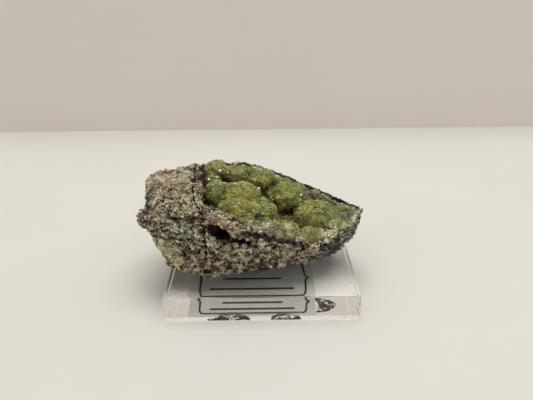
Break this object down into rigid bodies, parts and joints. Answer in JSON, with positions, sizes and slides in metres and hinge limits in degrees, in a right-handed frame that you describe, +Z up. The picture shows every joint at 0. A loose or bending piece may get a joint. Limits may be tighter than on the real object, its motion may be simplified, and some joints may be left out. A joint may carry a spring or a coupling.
{
  "type": "smithsonite specimen",
  "caption": "Porous gossan rock with a hollow lined by a green botryoidal smithsonite crust, held by putty on a clear acrylic block with a film label.",
  "frame": {"origin": "centre of the clear block's underside, where it stands on a table", "axes": "+X to the right along the rock's length as its hollow faces the viewer, +Y away from the viewer, +Z up"},
  "size_m": [0.0558, 0.0444, 0.0288],
  "materials": {
    "matrix": "rough broken porous gossan, grey-brown with rust, cream and black grains",
    "smithsonite_crust": "translucent yellow-green druse with a fine sparkle",
    "acrylic_base": "clear and polished",
    "film_label": "clear film printed in black",
    "putty": "dull slate grey mounting putty"
  },
  "bodies": {
    "root": {"matrix": "matrix", "smithsonite_crust": "smithsonite_crust", "acrylic_base": "acrylic_base", "film_label": "film_label", "putty_pad_left": "putty", "putty_pad_middle": "putty", "putty_pad_right": "putty"}
  },
  "joints": []
}
